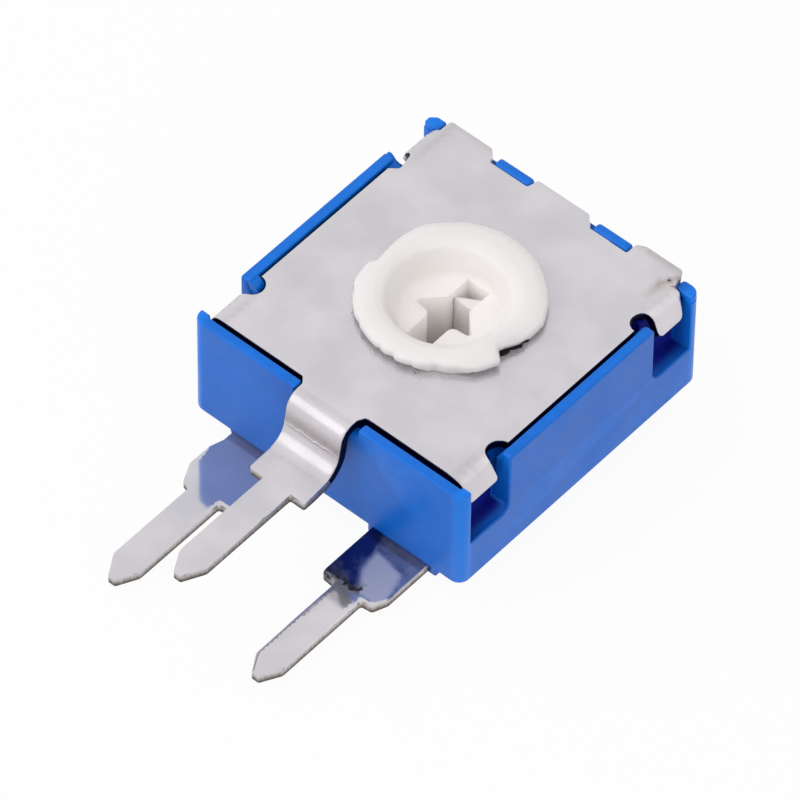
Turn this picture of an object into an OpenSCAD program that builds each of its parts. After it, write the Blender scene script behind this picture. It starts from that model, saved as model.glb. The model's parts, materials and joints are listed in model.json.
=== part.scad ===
// Carbon trimmer potentiometer with a square moulded housing, a stamped
// collector plate and a rotor that can be turned from either face.
// Origin: on the rotor's axis, in the plane of the plinth's underside.
// +Z runs along the rotor's axis to the collector plate; the pins point to -Y.

/* [Housing] */
// Width of the body across the row of terminals
body_w = 9.5; // [9.4:0.1:10.4]
// Depth of the body along the terminals
body_d = 9.75; // [9.7:0.05:10.4]
// Height from the body's underside to the top of its rim
wall_h = 3.6; // [3.5:0.1:4.4]
// Height of the plinth under the body
plinth_h = 0.8; // [0.8:0.05:1.1]
// Distance from the body's faces in to the plinth's faces
plinth_inset = 0.55; // [0.5:0.05:0.7]
// Thickness of the thin rim that stands beside the collector plate
rim_t = 0.32; // [0.26:0.01:0.34]
// Radius of the body's upright corners
corner_r = 0.34; // [0.2:0.02:0.4]
// Radius of the round cavity in which the rotor turns
cavity_r = 3.95; // [3.9:0.01:4]
// Depth of the four crimp pockets below the top of the rim
pocket_depth = 2.12; // [1.4:0.04:2.2]
// Length of a crimp pocket along the side of the body
pocket_len = 1.54; // [1.4:0.01:1.6]

/* [Sheet metal] */
// Thickness of the stamped sheet
sheet_t = 0.3; // [0.25:0.01:0.35]
// Distance between the two outer pins
terminal_pitch = 5; // [4.8:0.1:5.2]
// Width of a terminal between the body and its shoulders
blade_w = 1.96; // [1.8:0.02:2]
// Width of a solder pin
pin_w = 0.92; // [0.7:0.02:1]
// Distance from the rotor's axis to the shoulders of the terminals
shoulder_y = 6.8; // [6.6:0.1:7.6]
// Distance from the rotor's axis to the tips of the outer pins
tip_y = 10.6; // [9.5:0.05:12]
// Top of the outer terminals below the body's underside
outer_drop = 0.22; // [0.05:0.01:0.25]
// Drop of the middle terminal below the top of the collector plate
middle_drop = 1.43; // [1.2:0.01:1.6]
// Angle by which the corner tabs are bent down
tab_angle = 60; // [45:1:66]

/* [Rotor] */
// Radius of the rotor's hub in the plate and in the floor
hub_r = 2.02; // [1.98:0.01:2.1]
// Radial clearance of the hub in its two bearings
hub_gap = 0.04; // [0.02:0.01:0.08]
// Radius of the rim swaged over the collector plate
flange_r = 2.6; // [2.4:0.01:2.7]
// Height of the swaged rim above the collector plate
flange_h = 0.42; // [0.36:0.02:0.5]
// Radius of the dish inside the rim
dish_r = 1.43; // [1.4:0.01:1.5]
// Depth of the driver lobes below the top of the plate
lobe_depth = 0.44; // [0.3:0.02:0.6]
// Width of the driver slot's arms
slot_w = 0.76; // [0.6:0.02:0.8]
// Turn from mid travel to either stop, in degrees
travel = 117.5; // [110:0.5:120]

/* [Resistive element] */
// Thickness of the board that carries the track
board_t = 0.5; // [0.4:0.05:0.6]
// Thickness of the printed track and of its end pads
track_t = 0.05; // [0.04:0.01:0.06]
// Inner radius of the track
track_in_r = 2.5; // [2.4:0.05:2.6]
// Outer radius of the track
track_out_r = 3.5; // [3.4:0.05:3.6]
// Thickness of the wiper's spring strip
wiper_t = 0.16; // [0.12:0.01:0.2]

/* [Hidden] */
$fn = 96;
eps = 0.01;             // overshoot of a cut past the face that it opens
fit_gap = 0.05;         // play between loose pieces
contact_gap = 0.02;     // clearance drawn where the wiper's contacts slide

blue = [0.10, 0.36, 0.80];
tin = [0.80, 0.79, 0.80];
white = [0.93, 0.91, 0.89];
silver = [0.86, 0.86, 0.84];
phenolic = [0.50, 0.30, 0.16];
carbon = [0.10, 0.10, 0.11];
spring = [0.84, 0.76, 0.58];

// Levels
under_z = plinth_h;                   // underside of the body
terminal_z = under_z - outer_drop;    // top of the outer terminals
rim_z = plinth_h + wall_h;            // top of the rim and of the collector plate
seat_z = rim_z - sheet_t;             // face on which the collector plate lies
floor_t = 0.25;                       // floor above the body's underside
floor_z = under_z + floor_t;
board_z = floor_z + board_t;
track_z = board_z + track_t;
pocket_z = rim_z - pocket_depth;

// Plan of the body
half_w = body_w / 2;
half_d = body_d / 2;
pocket_end = half_d - 0.4;            // corner post beyond each pocket
pocket_start = pocket_end - pocket_len;
pocket_in = half_w - 0.62;            // wall that backs a pocket
pocket_round = 0.3;                   // rounding of a pocket's inner lower corner
bar_in = 1.09;                        // inner end of a short bar on the back rim
bar_out = 2.38;                       // outer end of a short bar on the back rim
post_x = half_w - 0.52;               // side of a corner post on the back rim
neck_half = 1.12;                     // half the gap in the front rim, for the middle terminal
boss_half = 1.2;                      // half the width of a boss that holds an outer terminal
boss_front = half_d - 0.2;
boss_z = 0.22;                        // underside of the bosses
neck_floor_drop = 0.06;               // floor of the gap in the front rim, below the plate's seat

// Rotor stop
disc_r = 3.3;                         // rotor disc inside the cavity
disc_z = 2.35;
disc_t = 0.8;
lug_r = 3.78;                         // stop lug on the disc
stop_r = 3.45;                        // inner face of the housing's stop
stop_half = 22;                       // half the stop's width, in degrees
stop_play = 0.5;                      // play left at each end of the travel, in degrees
lug_half = 180 - stop_half - travel - stop_play;
stop_h = disc_z + disc_t - floor_z;

// Collector plate
side_gap = 0.1;                       // gap between the plate's sides and the rim
front_gap = 0.2;                      // gap between the plate's front edge and the rim
bar_gap = 0.02;                       // gap between the plate and the back rim's bars
plate_half_w = half_w - rim_t - side_gap;
plate_front = half_d - rim_t - front_gap;
plate_back = half_d - rim_t - bar_gap;
tab_back = half_d + 0.03;             // edge of the middle tab that lies over the back rim
side_tab_back = half_d + 0.1;         // edge of the two side tabs that lie over the back rim
tab_bend_x = pocket_in + 0.02;        // line along which the corner tabs bend
tab_inner = pocket_start + 0.35;      // inner end of a corner tab
tab_outer = pocket_end - fit_gap;     // outer end of a corner tab
tab_len = 0.48;                       // straight length of a corner tab
tab_root = 0.2;                       // overlap of a corner tab with the flat of the plate
notch_r = 0.36;                       // relief notch between a side recess and a tab
bearing_r = hub_r + hub_gap;

// Middle terminal
bend_angle = 80;                      // slope between the two bends of the middle terminal
bend_top_r = 0.2;                     // inside radius of the upper bend
bend_low_r = 0.62;                    // inside radius of the lower bend
bend_y = half_d - 0.1;                // start of the upper bend
bend_sum_r = bend_top_r + sheet_t + bend_low_r;
slope_len = (middle_drop - bend_sum_r * (1 - cos(bend_angle))) / sin(bend_angle);
blade_y = bend_y + bend_sum_r * sin(bend_angle) + slope_len * cos(bend_angle);
blade_z = rim_z - middle_drop;
middle_tip_y = tip_y + 0.15;          // the middle pin is cut a little longer

// Outline of the blades and pins
tip_w = 0.24;                         // flat end of a pin
tip_len = 0.64;                       // length of a pin's taper
shoulder_cut = 0.18;                  // chamfer across an outer shoulder
shoulder_rise = 0.5;                  // chamfer along the blade
blade_in_y = 2.05;                    // inner end of an outer terminal
eyelet_x = 2.2;                       // eyelet that clinches a terminal to the board
eyelet_y = 2.4;
eyelet_r = 0.3;
eyelet_bore_r = 0.18;
eyelet_flange_r = 0.45;
eyelet_flange_t = 0.12;

// Board and track
board_r = cavity_r - fit_gap;
board_hole_r = hub_r + 0.2;
board_slot_half = 1.62;               // gap of the horseshoe, around the rotor stop
track_start = -30;                    // angles of the track's ends from +X
track_end = 210;
pad_half_x = board_slot_half + 0.06;  // inner edge of the end pads
pad_sweep = 35;                       // angle that a pad's ring spans before it is trimmed

// Rotor
rotor_low = 0.12;                     // underside of the rotor above the plinth's plane
flange_gap = 0.03;                    // clearance between the swaged rim and the plate
flange_top = rim_z + flange_h;
crest_r = 1.72;                       // inner edge of the rim's crest
nose_r = 0.16;                        // rounding of the rim's outer edge
edge_cut = 0.1;                       // chamfers of the rotor
lobe_z = rim_z - lobe_depth;
dish_step = 0.32;                     // upright wall of the dish above the lobes
arm_front = 1.25;                     // reach of the driver slot to -Y
arm_back = 1.33;                      // reach of the driver slot to +Y
barb_x = 0.94;                        // reach of the driver slot to each side
barb_y = -0.1;
barb_low = -0.21;
barb_high = 0.46;
barb_corner = 0.17;                   // chamfer between a barb and the -Y arm
step_y = 0.7;                         // step in the +Y arm
step_z = lobe_z - 0.26;
step_bottom = disc_z;
step_split_low = 0.77;                // slanted edge of the step, on the left
step_split_high = 1.22;               // slanted edge of the step, on the right
pointer_base = 1.2;                   // pointer recess in the rotor's underside
pointer_tip = 1.8;
pointer_half = 0.5;
pointer_depth = 0.45;

// Wiper, set in a window of the rotor's disc
window_left = -1.3;
window_right = 0.6;
window_in = 2.5;
window_out = 3.4;
wiper_in = 2.56;
wiper_out = 3.34;
wiper_inset = 0.12;                   // wiper's back from each face of the disc
wiper_back_low = disc_z + wiper_inset;
wiper_back_high = disc_z + disc_t - wiper_inset;
contact_x = 0.1;
contact_r = 0.14;
finger_slot = 0.14;
finger_root = -0.6;

// Point at radius r and angle a
function polar(r, a) = [r * cos(a), r * sin(a)];

// Points of an arc about centre c, from angle a0 to a1
arc_steps = 12;
function arc(c, r, a0, a1) = [for (i = [0 : arc_steps]) c + polar(r, a0 + (a1 - a0) * i / arc_steps)];

// Rectangle with rounded corners, centred on the origin
module rounded_rect(w, d, r) {
    square([w - 2 * r, d], center = true);
    square([w, d - 2 * r], center = true);
    for (x = [-1, 1], y = [-1, 1])
        translate([x * (w / 2 - r), y * (d / 2 - r)])
            circle(r);
}

// Block from corner a to corner b
module block(a, b) {
    translate(a)
        cube(b - a);
}

// Sector of a ring about the axis, centred on angle mid
module ring_sector(r_in, r_out, h, mid, half) {
    rotate([0, 0, mid - half])
        rotate_extrude(angle = 2 * half)
            translate([r_in, 0])
                square([r_out - r_in, h]);
}

// One crimp pocket at the +X side and the +Y end
module crimp_pocket() {
    top = rim_z - pocket_z + eps;
    translate([pocket_in, 0, pocket_z])
        rotate([90, 0, 90])
            linear_extrude(half_w - pocket_in + eps) {
                translate([pocket_start, pocket_round])
                    square([pocket_len, top - pocket_round]);
                translate([pocket_start + pocket_round, 0])
                    square([pocket_len - pocket_round, top]);
                translate([pocket_start + pocket_round, pocket_round])
                    circle(pocket_round);
            }
}

// Flat part of an outer terminal, seen from above, for the terminal at +X
module outer_blade_outline() {
    half = blade_w / 2;
    pin_half = pin_w / 2;
    tip_half = tip_w / 2;
    translate([terminal_pitch / 2, 0])
        polygon([[-half, -blade_in_y], [half, -blade_in_y],
                 [half, shoulder_rise - shoulder_y], [half - shoulder_cut, -shoulder_y],
                 [pin_half, -shoulder_y], [pin_half, tip_len - tip_y], [tip_half, -tip_y],
                 [-tip_half, -tip_y], [-pin_half, tip_len - tip_y], [-pin_half, -shoulder_y],
                 [-half, -shoulder_y]]);
}

module outer_terminal() {
    difference() {
        union() {
            translate([0, 0, terminal_z - sheet_t])
                linear_extrude(sheet_t)
                    outer_blade_outline();
            translate([eyelet_x, -eyelet_y, terminal_z - sheet_t / 2])
                cylinder(r = eyelet_r, h = track_z - terminal_z + sheet_t / 2);
            translate([eyelet_x, -eyelet_y, track_z])
                cylinder(r = eyelet_flange_r, h = eyelet_flange_t);
        }
        translate([eyelet_x, -eyelet_y, 0])
            cylinder(r = eyelet_bore_r, h = rim_z);
    }
}

// Blue moulding: plinth, floor, round cavity, rotor stop, thin rim and crimp pockets
module housing() {
    color(blue)
    difference() {
        union() {
            linear_extrude(under_z + eps)
                rounded_rect(body_w - 2 * plinth_inset, body_d - 2 * plinth_inset, corner_r);
            for (x = [-1, 1])
                translate([x * terminal_pitch / 2 - boss_half, -boss_front, boss_z])
                    cube([2 * boss_half, boss_front - blade_in_y, under_z - boss_z + eps]);
            translate([0, 0, under_z])
                linear_extrude(wall_h)
                    rounded_rect(body_w, body_d, corner_r);
        }
        difference() {
            translate([0, 0, floor_z])
                cylinder(r = cavity_r, h = wall_h);
            translate([0, 0, floor_z - eps])
                ring_sector(stop_r, cavity_r + fit_gap, stop_h + eps, -90, stop_half);
        }
        translate([0, 0, -eps])
            cylinder(r = bearing_r, h = floor_z + 2 * eps);
        // recess that the collector plate drops into
        block([rim_t - half_w, rim_t - half_d, seat_z], [half_w - rim_t, half_d - rim_t, rim_z + eps]);
        // gap for the middle terminal in the front rim
        block([-neck_half, -half_d - eps, seat_z - neck_floor_drop], [neck_half, 0, rim_z + eps]);
        // gaps in the back rim, between its bars and the corner posts
        block([-bar_in, 0, seat_z], [bar_in, half_d + eps, rim_z + eps]);
        for (x = [-post_x, bar_out])
            block([x, 0, seat_z], [x + post_x - bar_out, half_d + eps, rim_z + eps]);
        for (x = [0, 1], y = [0, 1])
            mirror([x, 0, 0])
                mirror([0, y, 0])
                    crimp_pocket();
        // channels in which the outer terminals are moulded, and holes for their eyelets
        for (x = [0, 1])
            mirror([x, 0, 0]) {
                translate([terminal_pitch / 2 - blade_w / 2, -half_d, terminal_z - sheet_t])
                    cube([blade_w, half_d - blade_in_y, sheet_t]);
                translate([eyelet_x, -eyelet_y, terminal_z - eps])
                    cylinder(r = eyelet_r, h = floor_z - terminal_z + 2 * eps);
            }
    }
}

// Section of the middle terminal in the plane of its bends: x runs to the pins, y is height
module middle_bend_section() {
    turn = 90 - bend_angle;
    top_c = [bend_y, seat_z - bend_top_r];
    low_c = [blade_y, blade_z + bend_low_r];
    polygon(concat(
        [[plate_front - eps, seat_z], [plate_front - eps, rim_z]],
        arc(top_c, bend_top_r + sheet_t, 90, turn),
        arc(low_c, bend_low_r, 180 + turn, 270),
        [[shoulder_y, blade_z], [shoulder_y, blade_z - sheet_t]],
        arc(low_c, bend_low_r + sheet_t, 270, 180 + turn),
        arc(top_c, bend_top_r, turn, 90)));
}

// Stamped and bent collector plate, one piece with the middle terminal
module collector_plate() {
    pin_half = pin_w / 2;
    tip_half = tip_w / 2;
    color(tin) {
        difference() {
            translate([0, 0, seat_z])
                linear_extrude(sheet_t)
                    difference() {
                        union() {
                            translate([-plate_half_w, -pocket_start])
                                square([2 * plate_half_w, 2 * pocket_start]);
                            translate([-tab_bend_x, -plate_front])
                                square([2 * tab_bend_x, plate_front + plate_back]);
                            translate([-bar_in, 0])
                                square([2 * bar_in, tab_back]);
                            for (x = [fit_gap - post_x, bar_out + fit_gap])
                                translate([x, 0])
                                    square([post_x - bar_out - 2 * fit_gap, side_tab_back]);
                        }
                        for (x = [-1, 1], y = [-1, 1])
                            translate([x * plate_half_w, y * pocket_start])
                                circle(notch_r);
                    }
            translate([0, 0, seat_z - eps])
                cylinder(r = bearing_r, h = sheet_t + 2 * eps);
        }
        for (x = [0, 1], y = [0, 1])
            mirror([x, 0, 0])
                mirror([0, y, 0])
                    corner_tab();
        translate([blade_w / 2, 0, 0])
            rotate([90, 0, -90])
                linear_extrude(blade_w)
                    middle_bend_section();
        translate([0, 0, blade_z - sheet_t])
            linear_extrude(sheet_t)
                polygon([[-pin_half, eps - shoulder_y], [pin_half, eps - shoulder_y],
                         [pin_half, tip_len - middle_tip_y], [tip_half, -middle_tip_y],
                         [-tip_half, -middle_tip_y], [-pin_half, tip_len - middle_tip_y]]);
    }
}

// Corner tab of the collector plate, bent down into its pocket, at +X and +Y
module corner_tab() {
    pivot = [tab_bend_x, seat_z];
    tip = pivot + polar(tab_len, -tab_angle);
    translate([0, tab_outer, 0])
        rotate([90, 0, 0])
            linear_extrude(tab_outer - tab_inner)
                polygon(concat(
                    [pivot - [tab_root, 0], pivot, tip, tip + polar(sheet_t, 90 - tab_angle)],
                    arc(pivot, sheet_t, 90 - tab_angle, 90),
                    [pivot + [-tab_root, sheet_t]]));
}

module terminal_left() {
    color(tin)
        mirror([1, 0, 0])
            outer_terminal();
}

module terminal_right() {
    color(tin)
        outer_terminal();
}

// Horseshoe board of phenolic paper
module substrate() {
    color(phenolic)
        translate([0, 0, floor_z])
            linear_extrude(board_t)
                difference() {
                    circle(board_r);
                    circle(board_hole_r);
                    translate([-board_slot_half, -cavity_r])
                        square([2 * board_slot_half, cavity_r]);
                    for (x = [-1, 1])
                        translate([x * eyelet_x, -eyelet_y])
                            circle(eyelet_r);
                }
}

// Printed resistive track
module carbon_track() {
    color(carbon)
        translate([0, 0, board_z])
            ring_sector(track_in_r, track_out_r, track_t, (track_start + track_end) / 2,
                        (track_end - track_start) / 2);
}

// Silver pad that joins the right end of the track to its terminal
module end_pad() {
    color(silver)
        difference() {
            translate([0, 0, board_z])
                ring_sector(track_in_r, track_out_r, track_t, track_start - pad_sweep / 2, pad_sweep / 2);
            block([-cavity_r, -cavity_r, 0], [pad_half_x, 0, rim_z]);
            translate([eyelet_x, -eyelet_y, 0])
                cylinder(r = eyelet_r, h = rim_z);
        }
}

module end_pad_left() {
    mirror([1, 0, 0])
        end_pad();
}

module end_pad_right() {
    end_pad();
}

// Driver slot, seen from above: straight arms along Y, pointed barbs along X
module slot_outline() {
    half = slot_w / 2;
    polygon([[-half, -arm_front], [half, -arm_front], [half, barb_low - barb_corner],
             [half + barb_corner, barb_low], [barb_x - fit_gap, barb_low], [barb_x, barb_y],
             [half, barb_high], [half, arm_back], [-half, arm_back], [-half, barb_high],
             [-barb_x, barb_y], [fit_gap - barb_x, barb_low], [-half - barb_corner, barb_low],
             [-half, barb_low - barb_corner]]);
}

// Section of the rotor from its axis outwards
module rotor_section() {
    lip_z = rim_z + flange_gap;
    nose_c = [flange_r - nose_r, flange_top - nose_r];
    polygon(concat(
        [[0, rotor_low], [hub_r - edge_cut, rotor_low], [hub_r, rotor_low + edge_cut], [hub_r, disc_z],
         [disc_r, disc_z], [disc_r, disc_z + disc_t], [hub_r, disc_z + disc_t], [hub_r, lip_z],
         [flange_r - nose_r, lip_z + edge_cut / 2]],
        arc(nose_c, nose_r, -60, 90),
        [[crest_r + edge_cut, flange_top], [crest_r, flange_top - edge_cut / 3],
         [dish_r, lobe_z + dish_step], [dish_r, lobe_z], [0, lobe_z]]));
}

// White moulded rotor: hub, disc, stop lug, swaged rim and the driver slot right through
module rotor() {
    half = slot_w / 2;
    color(white)
    difference() {
        union() {
            rotate_extrude()
                rotor_section();
            translate([0, 0, disc_z])
                ring_sector(disc_r - fit_gap, lug_r, disc_t, 90, lug_half);
        }
        difference() {
            linear_extrude(rim_z)
                slot_outline();
            // step in the +Y arm, cut off slantwise
            translate([0, 0, step_bottom])
                linear_extrude(step_z - step_bottom)
                    polygon([[fit_gap - half, step_y], [half + eps, step_y],
                             [half + eps, step_split_high + fit_gap], [fit_gap - half, step_split_low]]);
        }
        linear_extrude(rotor_low + pointer_depth)
            polygon([[-pointer_half, pointer_base], [pointer_half, pointer_base], [0, pointer_tip]]);
        block([window_left, window_in, disc_z - eps], [window_right, window_out, disc_z + disc_t + eps]);
    }
}

// Side view of the wiper: an upright back with one arm down to the track, one up to the plate
module wiper_section() {
    low = [contact_x, track_z + contact_gap + contact_r];
    high = [contact_x, seat_z - contact_gap - contact_r];
    back = window_left + wiper_t;
    polygon([[window_left, wiper_back_low], [back, wiper_back_low + wiper_t],
             [back, wiper_back_high - wiper_t], [window_left, wiper_back_high]]);
    polygon([[window_left, wiper_back_low], [low[0], low[1]], [low[0], low[1] + wiper_t],
             [back, wiper_back_low + wiper_t]]);
    polygon([[window_left, wiper_back_high], [back, wiper_back_high - wiper_t],
             [high[0], high[1] - wiper_t], [high[0], high[1]]]);
    translate(low)
        circle(contact_r);
    translate(high)
        circle(contact_r);
}

// Folded contact spring that bridges the track and the collector plate
module wiper() {
    color(spring)
    difference() {
        translate([0, wiper_out, 0])
            rotate([90, 0, 0])
                linear_extrude(wiper_out - wiper_in)
                    wiper_section();
        // the lower arm is split into two fingers
        block([finger_root, (wiper_in + wiper_out - finger_slot) / 2, 0],
              [contact_x + 2 * contact_r, (wiper_in + wiper_out + finger_slot) / 2, wiper_back_low]);
    }
}

housing();
collector_plate();
terminal_left();
terminal_right();
substrate();
carbon_track();
end_pad_left();
end_pad_right();
rotor();
wiper();
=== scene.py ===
import json
import math

import bmesh
import bpy
import numpy as np
from mathutils import Matrix, Vector, geometry, noise


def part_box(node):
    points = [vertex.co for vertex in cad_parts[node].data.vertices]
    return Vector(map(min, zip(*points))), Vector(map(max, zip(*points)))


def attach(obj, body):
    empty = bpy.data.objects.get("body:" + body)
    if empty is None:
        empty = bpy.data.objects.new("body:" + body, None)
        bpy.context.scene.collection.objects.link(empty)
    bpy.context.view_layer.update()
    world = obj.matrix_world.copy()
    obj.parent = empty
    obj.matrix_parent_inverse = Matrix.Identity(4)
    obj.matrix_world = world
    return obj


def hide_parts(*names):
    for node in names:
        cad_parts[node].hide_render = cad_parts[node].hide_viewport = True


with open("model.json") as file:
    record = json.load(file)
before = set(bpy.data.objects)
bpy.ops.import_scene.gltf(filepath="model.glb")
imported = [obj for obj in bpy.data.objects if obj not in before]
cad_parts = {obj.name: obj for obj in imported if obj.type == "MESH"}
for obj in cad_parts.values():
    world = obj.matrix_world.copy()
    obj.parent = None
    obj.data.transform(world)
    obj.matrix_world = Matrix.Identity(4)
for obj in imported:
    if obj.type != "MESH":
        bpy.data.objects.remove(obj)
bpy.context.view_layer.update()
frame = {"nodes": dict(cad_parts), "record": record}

# ------------------------------------------------------------
# Housing. One blue thermoplastic moulding that carries everything else: plinth,
# floor, round cavity, thin rim, crimp pockets and the bosses of the outer
# terminals. Its edges come soft out of the mould and the skin is semi-gloss.
# ------------------------------------------------------------
MM = 0.001


def mm_box(name):
    """Lower and upper corner of a CAD node in millimetres."""
    return tuple(Vector(corner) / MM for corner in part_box(name))


def feed(tree, sockets, values):
    """Sets or links sockets, given by number or by name with _ for a space."""
    for key, value in values.items():
        socket = sockets[key if isinstance(key, int) else key.replace("_", " ")]
        if isinstance(value, bpy.types.NodeSocket):
            tree.links.new(value, socket)
        else:
            socket.default_value = value


def node(tree, kind, settings=None, **inputs):
    """A new node with these settings and named inputs."""
    made = tree.nodes.new(kind)
    for key, value in (settings or {}).items():
        setattr(made, key, value)
    feed(tree, made.inputs, inputs)
    return made


def sum_up(tree, kind, settings, *values):
    """First output of a node that takes these values in order."""
    made = node(tree, kind, settings)
    feed(tree, made.inputs, dict(enumerate(values)))
    return made.outputs[0]


def maths(tree, operation, *values, clamp=False):
    """Result of an operation on numbers or sockets."""
    return sum_up(tree, "ShaderNodeMath", {"operation": operation, "use_clamp": clamp}, *values)


def ranged(tree, value, start, end, low=0.0, high=1.0, kind="LINEAR"):
    """A value's way from start to end, mapped to low and high and held beyond them."""
    return node(tree, "ShaderNodeMapRange", {"interpolation_type": kind}, Value=value,
                From_Min=start, From_Max=end, To_Min=low, To_Max=high).outputs[0]


def steps(tree, total, *stretches):
    """The total, if there is one, times the smooth step of each (value, start, end)."""
    for value, start, end in stretches:
        factor = ranged(tree, value, start, end, kind="SMOOTHSTEP")
        total = maths(tree, "MULTIPLY", total, factor) if total else factor
    return total


def noisy(tree, place, scale, detail, roughness=0.5):
    """Value of a noise."""
    return node(tree, "ShaderNodeTexNoise", Vector=place, Scale=scale, Detail=detail,
                Roughness=roughness).outputs["Fac"]


def ramp(tree, fac, stops):
    """Colour ramp through (position, grey or colour) stops."""
    made = node(tree, "ShaderNodeValToRGB", Fac=fac)
    elements = made.color_ramp.elements
    while len(elements) < len(stops):
        elements.new(0.5)
    for element, (place, colour) in zip(elements, stops):
        element.position = place
        element.color = (*((colour,) * 3 if isinstance(colour, float) else colour), 1)
    return made.outputs["Color"]


def blend(tree, factor, base, over):
    """A colour with another colour mixed over it."""
    made = node(tree, "ShaderNodeMix", {"data_type": "RGBA"}, Factor=factor)
    feed(tree, made.inputs, {place: (*colour, 1) if isinstance(colour, tuple) else colour
                             for place, colour in ((6, base), (7, over))})
    return made.outputs[2]


def bumped(tree, strength, depth, height):
    """Normal of a bump of that depth in millimetres."""
    made = node(tree, "ShaderNodeBump", Strength=strength, Distance=depth * MM, Height=height)
    return made.outputs["Normal"]


def effect(name, outputs, **inputs):
    """A new node group of a place and these inputs, with float outputs."""
    tree = bpy.data.node_groups.new(name, "ShaderNodeTree")
    tree.interface.new_socket("Place", in_out="INPUT", socket_type="NodeSocketVector")
    for label, start in inputs.items():
        kind = "NodeSocketVector" if isinstance(start, tuple) else "NodeSocketFloat"
        made = tree.interface.new_socket(label.replace("_", " "), in_out="INPUT", socket_type=kind)
        made.default_value = start
    for label in outputs:
        tree.interface.new_socket(label, in_out="OUTPUT", socket_type="NodeSocketFloat")
    return tree, tree.nodes.new("NodeGroupInput").outputs, tree.nodes.new("NodeGroupOutput").inputs


def put(tree, group, **inputs):
    """Outputs of a node group that is placed in a material with its own values."""
    return node(tree, "ShaderNodeGroup", {"node_tree": group}, **inputs).outputs


def finish_of(name):
    """A new material: (material, tree, its shader's inputs, coordinates in millimetres)."""
    material = bpy.data.materials.new(name)
    material.use_nodes = True
    tree = material.node_tree
    place = node(tree, "ShaderNodeTexCoord").outputs["Object"]
    in_mm = node(tree, "ShaderNodeVectorMath", {"operation": "SCALE"}, Vector=place, Scale=1 / MM).outputs[0]
    return material, tree, tree.nodes["Principled BSDF"].inputs, in_mm


# grain and patches of a moulded or rolled skin
skin, given, result = effect("skin", ["Height", "Patches", "Specks"], Grain=14.0, Patch=0.5,
                             Stretch=(1, 1, 1))
drawn = sum_up(skin, "ShaderNodeVectorMath", {"operation": "MULTIPLY"}, given["Place"], given["Stretch"])
broad = noisy(skin, given["Place"], given["Patch"], 2.0, 0.45)
spots = node(skin, "ShaderNodeTexVoronoi", Vector=given["Place"], Scale=given["Grain"]).outputs["Distance"]
feed(skin, result, dict(Height=noisy(skin, drawn, given["Grain"], 3.0, 0.6),
                        Patches=ramp(skin, broad, [(0.32, 0.0), (0.68, 1.0)]),
                        Specks=ramp(skin, spots, [(0.0, 1.0), (0.10, 0.0)])))

# fine hairline scratches from handling
marks, given, result = effect("handling_marks", ["Lines"], Amount=0.5)
total = None
for turn, scale, far in ((0.5, 1.3, 0.0), (2.1, 1.7, 7.3), (1.2, 0.9, 3.1)):
    turned = node(marks, "ShaderNodeMapping", Vector=given["Place"], Location=(far, far, far),
                  Rotation=(0.3 * turn, 0.2, turn), Scale=(0.35, 16.0, 16.0)).outputs[0]
    line = ramp(marks, noisy(marks, turned, scale, 1.0), [(0.49, 0.0), (0.5, 1.0), (0.51, 0.0)])
    total = maths(marks, "MAXIMUM", total, line) if total else line
where = ramp(marks, noisy(marks, given["Place"], 0.8, 2.0), [(0.45, 0.0), (0.65, 1.0)])
total = maths(marks, "MULTIPLY", total, where)
feed(marks, result, dict(Lines=maths(marks, "MULTIPLY", total, given["Amount"])))

# wear and a painted highlight on the edges that stand out
edge_wear_glint, given, result = effect("edge_wear_and_glint", ["WearAndGlint"], Reach=0.55)
soft = ranged(edge_wear_glint, node(edge_wear_glint, "ShaderNodeNewGeometry").outputs["Pointiness"], 0.5, given["Reach"])
feed(edge_wear_glint, result, dict(WearAndGlint=maths(edge_wear_glint, "MULTIPLY", soft, noisy(edge_wear_glint, given["Place"], 3.0, 3.0))))

half_w, half_d, rim_z = mm_box("housing")[1]
rim_in = half_w - 0.32                 # inner faces of the thin rim
pocket_start, pocket_end = 2.935, 4.475
pocket_low = 2.25
seat_z = rim_z - 0.3                   # where the plate lies

# painted shade: how deep a point lies in a crimp pocket or the groove around the plate, which darkens it, and
# whether in a corner post, which is painted lighter
recess, given, result = effect("recess", ["Depth", "Post"], Half_Width=4.75, Half_Depth=4.875, Top=4.4)
away = sum_up(recess, "ShaderNodeVectorMath", {"operation": "ABSOLUTE"}, given["Place"])
x, y, z = node(recess, "ShaderNodeSeparateXYZ", Vector=away).outputs
from_side = maths(recess, "SUBTRACT", given["Half Width"], x)
from_end = maths(recess, "SUBTRACT", given["Half Depth"], y)
below = maths(recess, "SUBTRACT", given["Top"], z)
pocket = steps(recess, None, (from_side, 0.02, 0.45), (y, 2.94, 3.02), (from_end, 0.32, 0.52))
edge = maths(recess, "MINIMUM", from_side, from_end)
groove = steps(recess, None, (edge, 0.30, 0.34), (edge, 0.95, 0.75))
past_rim = maths(recess, "MULTIPLY", ranged(recess, y, 2.84, 2.88), ranged(recess, from_end, 1.0, 1.2))
groove = maths(recess, "SUBTRACT", groove, past_rim, clamp=True)
groove = steps(recess, groove, (below, 0.5, 0.4), (below, 0.22, 0.28))
deep = maths(recess, "MAXIMUM", pocket, groove)
feed(recess, result, dict(Depth=steps(recess, deep, (below, 2.25, 2.15), (below, 0.02, 0.2)),
                          Post=steps(recess, None, (from_end, 0.46, 0.40), (from_side, 0.5, 0.1))))

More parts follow.
